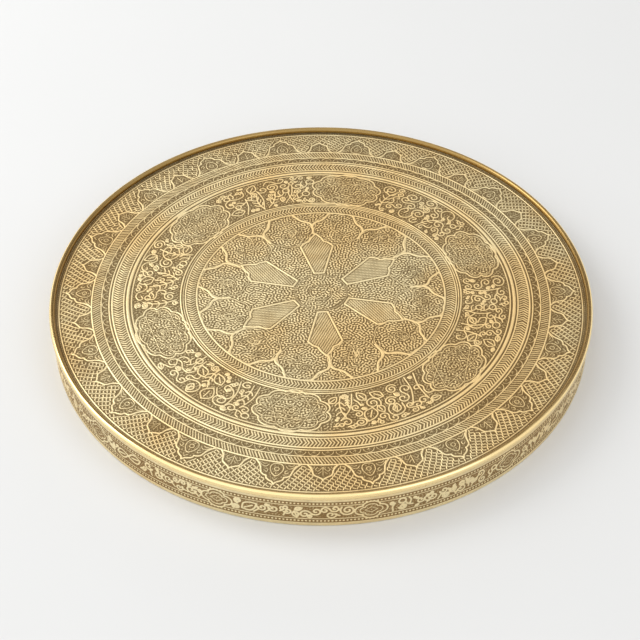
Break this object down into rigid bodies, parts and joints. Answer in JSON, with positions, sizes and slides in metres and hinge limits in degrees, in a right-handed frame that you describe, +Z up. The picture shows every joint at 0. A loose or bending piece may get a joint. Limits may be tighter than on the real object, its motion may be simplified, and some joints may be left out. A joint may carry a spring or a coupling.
{
  "type": "brass tray table top",
  "caption": "Round chased brass tray-table top with a low polished bead round its edge and a deep engraved apron that drops over a stand's head.",
  "frame": {"origin": "centre of the tray on the surface that its apron stands on", "axes": "+Z up through the tray's centre, +X to the right as seen from the front, +Y towards the back, where the apron's seam is"},
  "size_m": [0.6, 0.6, 0.048],
  "materials": {
    "chased_plate": "chased, pale antique brass with brown patina in the recesses",
    "polished_bead": "polished, rubbed bright",
    "chased_apron": "chased, pale antique brass with brown patina in the recesses",
    "iron_wire": "drawn black iron",
    "soft_solder": "dull grey tin-lead solder, wiped",
    "strap_brass": "unpolished sheet",
    "rivet_brass": "hammered"
  },
  "bodies": {
    "root": {"tray_plate": "chased_plate", "rim_bead": "polished_bead", "rim_core_wire": "iron_wire", "apron": "chased_apron", "foot_wire": "iron_wire", "solder_fillet": "soft_solder", "seam_strap": "strap_brass", "seam_rivets": "rivet_brass"}
  },
  "joints": []
}
